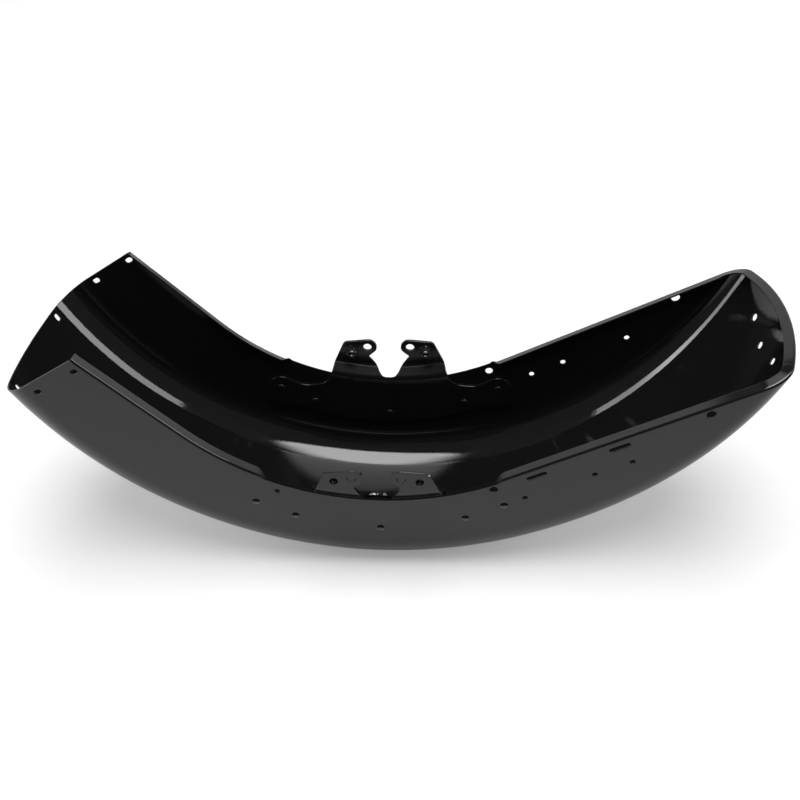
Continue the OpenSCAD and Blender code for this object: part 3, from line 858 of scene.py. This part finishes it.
def new_material(name):
    m = bpy.data.materials.new(name)
    m.use_nodes = True
    nt = m.node_tree
    nt.nodes.clear()
    return m, nt


def node(nt, kind, **values):
    """A new node, with values for its inputs or its settings."""
    n = nt.nodes.new(kind)
    for key, val in values.items():
        if key in n.inputs:
            n.inputs[key].default_value = val
        else:
            setattr(n, key, val)
    return n


def feed(nt, socket, value):
    """Gives an input a value, or the output of another node."""
    if isinstance(value, (int, float, tuple)):
        socket.default_value = value
    else:
        nt.links.new(value, socket)


def ramp(nt, src, stops):
    r = nt.nodes.new("ShaderNodeValToRGB")
    els = r.color_ramp.elements
    while len(els) < len(stops):
        els.new(0.5)
    for e, (pos, val) in zip(els, stops):
        e.position = pos
        e.color = (val, val, val, 1)
    nt.links.new(src, r.inputs["Fac"])
    return r.outputs["Color"]


def math_node(nt, op, a, b=None):
    n = nt.nodes.new("ShaderNodeMath")
    n.operation = op
    feed(nt, n.inputs[0], a)
    if b is not None:
        feed(nt, n.inputs[1], b)
    return n.outputs[0]


def mix_float(nt, fac, a, b):
    n = nt.nodes.new("ShaderNodeMix")
    n.data_type = "FLOAT"
    feed(nt, n.inputs[0], fac)
    feed(nt, n.inputs[2], a)
    feed(nt, n.inputs[3], b)
    return n.outputs[0]


def mix_colour(nt, fac, a, b):
    n = nt.nodes.new("ShaderNodeMix")
    n.data_type = "RGBA"
    feed(nt, n.inputs[0], fac)
    feed(nt, n.inputs[6], a)
    feed(nt, n.inputs[7], b)
    return n.outputs[2]


def bare_spot(nt, pos, centre, radii):
    """One inside the ellipsoid round centre and zero outside, with a ragged edge."""
    shift = node(nt, "ShaderNodeVectorMath", operation="SUBTRACT")
    nt.links.new(pos, shift.inputs[0])
    shift.inputs[1].default_value = centre
    scale = node(nt, "ShaderNodeVectorMath", operation="DIVIDE")
    nt.links.new(shift.outputs[0], scale.inputs[0])
    scale.inputs[1].default_value = radii
    length = node(nt, "ShaderNodeVectorMath", operation="LENGTH")
    nt.links.new(scale.outputs[0], length.inputs[0])
    ragged = node(nt, "ShaderNodeTexNoise", Scale=700.0, Detail=3.0)
    nt.links.new(pos, ragged.inputs["Vector"])
    wobble = math_node(nt, "MULTIPLY", ragged.outputs["Fac"], 1.1)
    edge = math_node(nt, "ADD", length.outputs["Value"], wobble)
    return ramp(nt, math_node(nt, "MULTIPLY", edge, 0.5), ((0.66, 1.0), (0.76, 0.0)))


def gloss_black(name, spots=(), dust=1.0, rough=0.055):
    """Gloss black paint with faint dust, smudges and a trace of orange peel, bare steel at spots, and a
    painted sheen and painted shade from the mesh's attributes.
    """
    m, nt = new_material(name)
    out = node(nt, "ShaderNodeOutputMaterial")
    bs = node(nt, "ShaderNodeBsdfPrincipled", **{"Base Color": PAINT, "IOR": 1.5})
    nt.links.new(bs.outputs[0], out.inputs[0])
    geo = node(nt, "ShaderNodeNewGeometry")
    pos = geo.outputs["Position"]
    fine = node(nt, "ShaderNodeTexNoise", Scale=900.0, Detail=4.0)
    patch = node(nt, "ShaderNodeTexNoise", Scale=14.0, Detail=6.0, Roughness=0.6)
    smudge = node(nt, "ShaderNodeTexNoise", Scale=38.0, Detail=5.0, Distortion=1.4)
    peel = node(nt, "ShaderNodeTexNoise", Scale=420.0, Detail=1.0)
    wave = node(nt, "ShaderNodeTexNoise", Scale=9.0, Detail=1.0)
    for t in (fine, patch, smudge, peel, wave):
        nt.links.new(pos, t.inputs["Vector"])
    specks = ramp(nt, fine.outputs["Fac"], ((0.66, 0.0), (0.78, 1.0)))
    film = ramp(nt, patch.outputs["Fac"], ((0.45, 0.0), (0.72, 1.0)))
    specks = math_node(nt, "MULTIPLY", specks, film)
    # The painted sheen pales the paint towards the same grey as the dust.
    painted_sheen = node(nt, "ShaderNodeAttribute", attribute_name="painted_sheen").outputs["Fac"]
    pale = math_node(nt, "ADD", math_node(nt, "MULTIPLY", specks, 0.055 * dust),
                     math_node(nt, "MULTIPLY", painted_sheen, 0.065))
    colour = mix_colour(nt, pale, PAINT, DUST_AND_SHEEN)
    smear = ramp(nt, smudge.outputs["Fac"], ((0.48, 0.0), (0.7, 1.0)))
    rg = math_node(nt, "ADD", math_node(nt, "MULTIPLY", smear, 0.045 * dust), rough)
    rg = math_node(nt, "ADD", rg, math_node(nt, "MULTIPLY", specks, 0.2 * dust))
    b1 = node(nt, "ShaderNodeBump", Strength=0.035, Distance=0.0006)
    nt.links.new(peel.outputs["Fac"], b1.inputs["Height"])
    b2 = node(nt, "ShaderNodeBump", Strength=0.03, Distance=0.01)
    nt.links.new(wave.outputs["Fac"], b2.inputs["Height"])
    nt.links.new(b1.outputs[0], b2.inputs["Normal"])
    nt.links.new(b2.outputs[0], bs.inputs["Normal"])
    mask = None
    for centre, radii in spots:
        one = bare_spot(nt, pos, centre, radii)
        mask = one if mask is None else math_node(nt, "MAXIMUM", mask, one)
    if mask is not None:
        colour = mix_colour(nt, mask, colour, BARE_STEEL)
        nt.links.new(mask, bs.inputs["Metallic"])
        rg = mix_float(nt, mask, rg, 0.38)
    nt.links.new(colour, bs.inputs["Base Color"])
    # Painted shade: where it is up, the gloss goes and the paint renders black.
    painted_shade = node(nt, "ShaderNodeAttribute", attribute_name="painted_shade").outputs["Fac"]
    nt.links.new(mix_float(nt, painted_shade, 0.5, 0.0), bs.inputs["Specular IOR Level"])
    nt.links.new(mix_float(nt, painted_shade, rg, 0.3), bs.inputs["Roughness"])
    return m


def nut_material():
    m, nt = new_material("dark_nut_finish")
    out = node(nt, "ShaderNodeOutputMaterial")
    bs = node(nt, "ShaderNodeBsdfPrincipled", **{"Base Color": NUT_BLACK, "IOR": 1.5})
    nt.links.new(bs.outputs[0], out.inputs[0])
    geo = node(nt, "ShaderNodeNewGeometry")
    worn = node(nt, "ShaderNodeTexNoise", Scale=500.0, Detail=4.0)
    nt.links.new(geo.outputs["Position"], worn.inputs["Vector"])
    mask = ramp(nt, worn.outputs["Fac"], ((0.6, 0.0), (0.7, 1.0)))
    colour = mix_colour(nt, math_node(nt, "MULTIPLY", mask, 0.6), NUT_BLACK, NUT_WORN)
    nt.links.new(colour, bs.inputs["Base Color"])
    nt.links.new(math_node(nt, "ADD", math_node(nt, "MULTIPLY", mask, 0.2), 0.14), bs.inputs["Roughness"])
    return m


def as_point(x, y, z):
    """A wheel centred place in mm as a tuple in the row frame."""
    return tuple(float(v) for v in placed([x, y, z]))


# Bare steel shows at the opening's edge and at two outer edges of the near bracket.
EDGE_Z, EAR_SIDE_Z = -256.5, -221.0
near_spots = [
    (as_point(-9.5, -86.0, EDGE_Z), (0.0068, 0.004, 0.0016)),
    (as_point(2.3, -86.0, EDGE_Z), (0.0027, 0.004, 0.0015)),
    (as_point(-72.0, -95.0, EAR_SIDE_Z), (0.0022, 0.003, 0.0012)),
    (as_point(43.0, -95.0, EAR_SIDE_Z), (0.0017, 0.003, 0.0009)),
]
paint_shell = gloss_black("paint_shell")
paint_bracket = gloss_black("paint_bracket", near_spots, 1.0, 0.07)
paint_rivet = gloss_black("paint_rivet", (), 1.2, 0.09)
dark_nut = nut_material()

# The pieces
shell = build_shell(paint_shell)
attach(shell, "root")
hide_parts("fender_shell")
for side, mirror in (("near", True), ("far", False)):
    piece = build_bracket("plate_" + side, paint_bracket, mirror)
    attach(piece, "root")
    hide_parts("bracket_" + side)
    for k in range(5):
        piece = build_rivet("set_rivet_%s_%d" % (side, k + 1), paint_rivet, k, mirror)
        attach(piece, "root")
        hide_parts("rivet_%s_%d" % (side, k + 1))
    for k, place in enumerate(("rear", "front")):
        piece, horns = build_nut("clinch_nut_%s_%s" % (side, place), dark_nut, k, mirror)
        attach(piece, "root")
        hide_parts("nut_%s_%s" % (side, place))
        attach(horns, "root")

# Floor, light and camera
scene = bpy.context.scene
scene.view_settings.view_transform = "Standard"
scene.view_settings.look = "None"


def plane(name, corners, material):
    me = bpy.data.meshes.new(name)
    me.from_pydata(corners, [], [(0, 1, 2, 3)])
    me.materials.append(material)
    ob = bpy.data.objects.new(name, me)
    bpy.context.collection.objects.link(ob)
    return ob


def shaped(nt, src, lo, hi, a, b):
    """Goes smoothly from a to b while src goes from lo to hi."""
    mr = node(nt, "ShaderNodeMapRange")
    mr.interpolation_type = "SMOOTHSTEP"
    for key, v in (("From Min", lo), ("From Max", hi), ("To Min", a), ("To Max", b)):
        mr.inputs[key].default_value = v
    nt.links.new(src, mr.inputs["Value"])
    return mr.outputs["Result"]


m, nt = new_material("floor_white")
out = node(nt, "ShaderNodeOutputMaterial")
dif = node(nt, "ShaderNodeBsdfDiffuse", Color=(0.48, 0.48, 0.48, 1))
emi = node(nt, "ShaderNodeEmission", Color=(1, 1, 1, 1))
geo = node(nt, "ShaderNodeNewGeometry")
sep = node(nt, "ShaderNodeSeparateXYZ")
nt.links.new(geo.outputs["Position"], sep.inputs[0])
light_path = node(nt, "ShaderNodeLightPath")
lift = shaped(nt, sep.outputs["Y"], 0.0, 1.6, 0.22, 0.38)
nt.links.new(math_node(nt, "MULTIPLY", light_path.outputs["Is Camera Ray"], lift), emi.inputs["Strength"])
add = node(nt, "ShaderNodeAddShader")
nt.links.new(dif.outputs[0], add.inputs[0])
nt.links.new(emi.outputs[0], add.inputs[1])
nt.links.new(add.outputs[0], out.inputs[0])
plane("floor", [(-8, -8, 0), (8, -8, 0), (8, 8, 0), (-8, 8, 0)], m)


def softbox(name, corners, glow):
    """A light panel; glow(nt, x, y, z) gives its radiance at a place on it."""
    m, nt = new_material(name + "_light")
    out = node(nt, "ShaderNodeOutputMaterial")
    emi = node(nt, "ShaderNodeEmission", Color=(1, 1, 1, 1))
    geo = node(nt, "ShaderNodeNewGeometry")
    sep = node(nt, "ShaderNodeSeparateXYZ")
    nt.links.new(geo.outputs["Position"], sep.inputs[0])
    nt.links.new(glow(nt, *sep.outputs), emi.inputs["Strength"])
    nt.links.new(emi.outputs[0], out.inputs[0])
    ob = plane(name, corners, m)
    ob.visible_camera = False
    ob.visible_shadow = False


def over_glow(nt, x, y, z):
    """A round glow, whose edge is crisp on the camera's side and soft on the far side."""
    u = math_node(nt, "DIVIDE", math_node(nt, "SUBTRACT", x, 0.17), 1.12)
    v = math_node(nt, "DIVIDE", math_node(nt, "ADD", y, 0.2), 1.5)
    squares = math_node(nt, "ADD", math_node(nt, "MULTIPLY", u, u), math_node(nt, "MULTIPLY", v, v))
    d = math_node(nt, "SQRT", squares)
    far_side = shaped(nt, y, -0.75, 0.1, 0.0, 1.0)
    crisp = shaped(nt, d, 0.88, 1.06, 9.5, 0.1)
    soft = shaped(nt, d, 0.45, 1.15, 9.5, 0.1)
    return mix_float(nt, far_side, crisp, soft)


def tail_glow(nt, x, y, z):
    return shaped(nt, z, 0.2, 3.0, 6.5, 4.9)


def nose_glow(nt, x, y, z):
    off = math_node(nt, "ABSOLUTE", math_node(nt, "SUBTRACT", z, 1.42))
    return shaped(nt, off, 0.0, 0.75, 9.5, 5.0)


softbox("box_over", [(-1.1, -1.7, 3), (-1.1, 2.4, 3), (1.45, 2.4, 3), (1.45, -1.7, 3)], over_glow)
softbox("box_tail", [(3, -0.6, 0.3), (3, 0.72, 0.3), (3, 0.72, 2.95), (3, -0.6, 2.95)], tail_glow)
softbox("box_nose", [(-3, -0.7, 0.02), (-3, 0.58, 0.02), (-3, 0.58, 2.8), (-3, -0.7, 2.8)], nose_glow)

world = bpy.data.worlds.new("studio")
scene.world = world
world.use_nodes = True
nt = world.node_tree
nt.nodes.clear()
out = node(nt, "ShaderNodeOutputWorld")
bg = node(nt, "ShaderNodeBackground", Color=(1, 1, 1, 1), Strength=0.5)
nt.links.new(bg.outputs[0], out.inputs[0])
tc = node(nt, "ShaderNodeTexCoord")
sep = node(nt, "ShaderNodeSeparateXYZ")
nt.links.new(tc.outputs["Generated"], sep.inputs[0])
# Mirrored in the paint, the world is dim, apart from two areas behind the fender.
aside = math_node(nt, "ABSOLUTE", sep.outputs["X"])
low_back = math_node(nt, "MULTIPLY", shaped(nt, sep.outputs["Y"], 0.25, 0.42, 0.0, 1.0),
                     shaped(nt, sep.outputs["Z"], 0.5, 0.65, 1.0, 0.0))
low_back = math_node(nt, "MULTIPLY", low_back, shaped(nt, sep.outputs["X"], -0.8, -0.6, 0.0, 1.0))
high_back = math_node(nt, "MULTIPLY", shaped(nt, sep.outputs["Y"], 0.38, 0.6, 0.0, 1.0),
                      shaped(nt, aside, 0.3, 0.5, 0.85, 0.0))
back = math_node(nt, "MULTIPLY", math_node(nt, "MAXIMUM", low_back, high_back), 0.86)
back = math_node(nt, "ADD", back, 0.14)
lp = node(nt, "ShaderNodeLightPath")
nt.links.new(mix_float(nt, lp.outputs["Is Glossy Ray"], 0.55, back), bg.inputs["Strength"])

# The photograph's camera, fitted in a wheel centred frame that is turned by FIT_TURN
FIT_TURN = rad(0.8)
HEADING, TILT, ROLL = rad(-4.7208), rad(-40.4419), rad(-3.0663)
CAMERA_AT = [64.9416, -667.24, 353.9122]
FOCAL_PIXELS, PHOTO_PIXELS, SENSOR = 941.105, 800, 36


def fitted(v):
    return [v[0] * cos(FIT_TURN) - v[2] * sin(FIT_TURN), v[1],
            v[0] * sin(FIT_TURN) + v[2] * cos(FIT_TURN)]


ahead = np.array([sin(HEADING) * cos(TILT), cos(HEADING) * cos(TILT), sin(TILT)])
level = np.array([cos(HEADING), -sin(HEADING), 0.0])
right = turned(fitted(level * cos(ROLL) + np.cross(level, ahead) * sin(ROLL)))
forward = turned(fitted(ahead))
centre = placed(fitted(CAMERA_AT))
up = np.cross(right, forward)
cam_data = bpy.data.cameras.new("camera")
cam_data.sensor_width = SENSOR
cam_data.lens = FOCAL_PIXELS / PHOTO_PIXELS * SENSOR
cam_data.clip_start = 0.01
cam_data.clip_end = 100
cam = bpy.data.objects.new("camera", cam_data)
bpy.context.collection.objects.link(cam)
rows = [[float(right[i]), float(up[i]), float(-forward[i]), float(centre[i])] for i in range(3)]
cam.matrix_world = Matrix(rows + [[0, 0, 0, 1]])
scene.camera = cam
